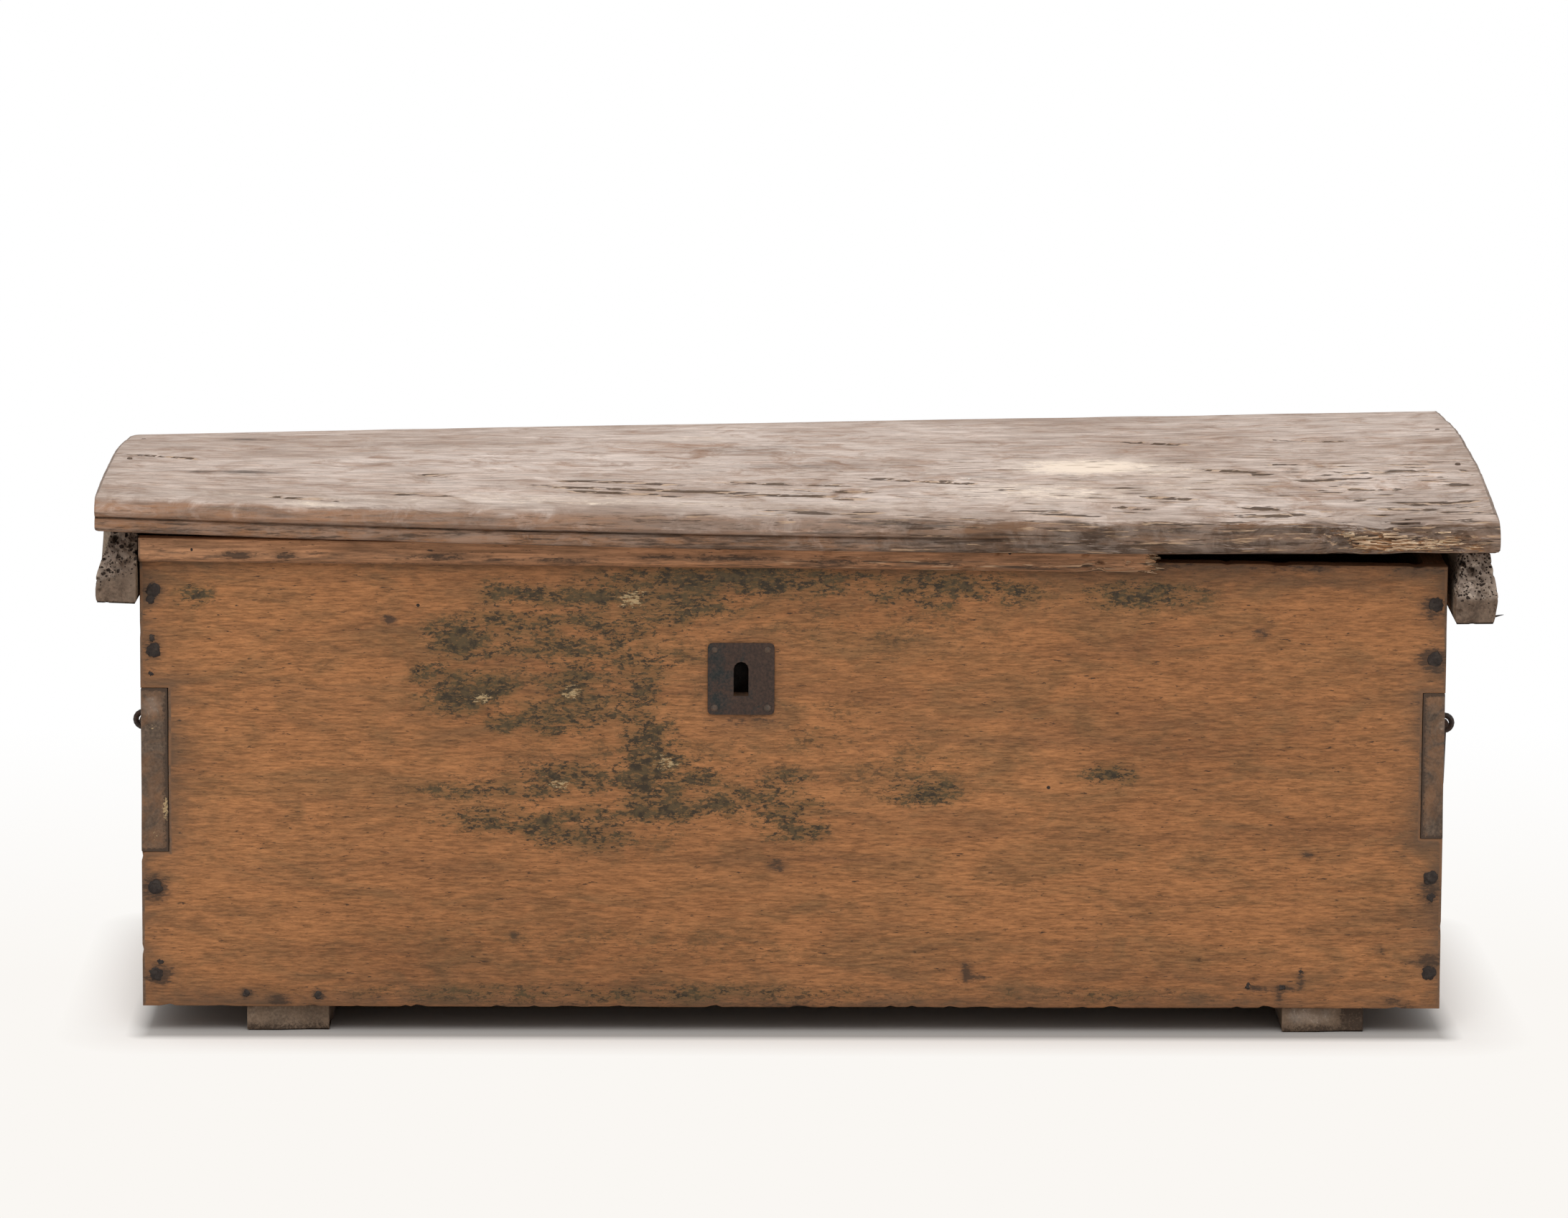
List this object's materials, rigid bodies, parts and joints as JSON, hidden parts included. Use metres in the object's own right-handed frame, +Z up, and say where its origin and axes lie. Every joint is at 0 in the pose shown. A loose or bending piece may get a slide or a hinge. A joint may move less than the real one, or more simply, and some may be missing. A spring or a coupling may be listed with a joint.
{
  "type": "sea chest",
  "caption": "Nailed pine sea chest with a wide warped plank lid, end battens, broken bead moulding, iron keyhole plate, lock, till, drop handles and runners.",
  "frame": {"origin": "on the floor under the middle of the lid's outline", "axes": "+X along the length to the viewer's right, the front faces -Y, +Z up"},
  "size_m": [1.1706, 0.505, 0.4791],
  "materials": {
    "warm_pine": "worn, stained, bare",
    "dark_pine": "unfinished, dirty",
    "weathered_pine": "weathered grey, checked",
    "forged_iron": "forged, rusted",
    "rusted_plate": "sheet, rusted"
  },
  "bodies": {
    "chest": {"back_board": "warm_pine", "back_left_nail_1": "forged_iron", "back_left_nail_2": "forged_iron", "back_left_nail_3": "forged_iron", "back_left_nail_4": "forged_iron", "back_right_nail_1": "forged_iron", "back_right_nail_2": "forged_iron", "back_right_nail_3": "forged_iron", "back_right_nail_4": "forged_iron", "bottom_back_plank": "dark_pine", "bottom_front_plank": "dark_pine", "front_board": "warm_pine", "front_left_nail_1": "forged_iron", "front_left_nail_2": "forged_iron", "front_left_nail_3": "forged_iron", "front_left_nail_4": "forged_iron", "front_moulding": "warm_pine", "front_right_nail_1": "forged_iron", "front_right_nail_2": "forged_iron", "front_right_nail_3": "forged_iron", "front_right_nail_4": "forged_iron", "left_back_eye": "forged_iron", "left_back_leaf": "forged_iron", "left_end": "warm_pine", "left_front_eye": "forged_iron", "left_hinge_pin": "forged_iron", "left_leaf_nail_1": "forged_iron", "left_leaf_nail_2": "forged_iron", "left_runner": "dark_pine", "lock_case": "forged_iron", "lock_plate": "rusted_plate", "right_back_eye": "forged_iron", "right_back_leaf": "forged_iron", "right_end": "warm_pine", "right_front_eye": "forged_iron", "right_hinge_pin": "forged_iron", "right_leaf_nail_1": "forged_iron", "right_leaf_nail_2": "forged_iron", "right_runner": "dark_pine", "till_floor": "dark_pine", "till_side": "dark_pine"},
    "lid": {"left_batten_nail_1": "forged_iron", "left_batten_nail_2": "forged_iron", "left_lid_batten": "weathered_pine", "left_lid_strap": "forged_iron", "left_strap_nail_1": "forged_iron", "left_strap_nail_2": "forged_iron", "lid_board": "weathered_pine", "lid_keeper": "forged_iron", "right_batten_nail_1": "forged_iron", "right_batten_nail_2": "forged_iron", "right_lid_batten": "weathered_pine", "right_lid_strap": "forged_iron", "right_strap_nail_1": "forged_iron", "right_strap_nail_2": "forged_iron"},
    "left_handle": {"left_bail": "forged_iron"},
    "right_handle": {"right_bail": "forged_iron"},
    "bolt": {"lock_bolt": "forged_iron"}
  },
  "joints": [
    {"name": "lid_hinge", "type": "hinge", "parent": "chest", "child": "lid", "pos_m": [-0.00275, 0.2424, 0.42323], "axis": [-0.9998, 0, -0.0215], "range_deg": [0, 105]},
    {"name": "left_handle_swing", "type": "hinge", "parent": "chest", "child": "left_handle", "pos_m": [-0.56005, 0.0055, 0.2383], "axis": [0, 1, 0], "range_deg": [-5, 170]},
    {"name": "right_handle_swing", "type": "hinge", "parent": "chest", "child": "right_handle", "pos_m": [0.56275, 0.0055, 0.2383], "axis": [0, -1, 0], "range_deg": [-12, 165]},
    {"name": "bolt_slide", "type": "slide", "parent": "chest", "child": "bolt", "axis": [-1, 0, 0], "range_m": [0, 0.014]}
  ]
}
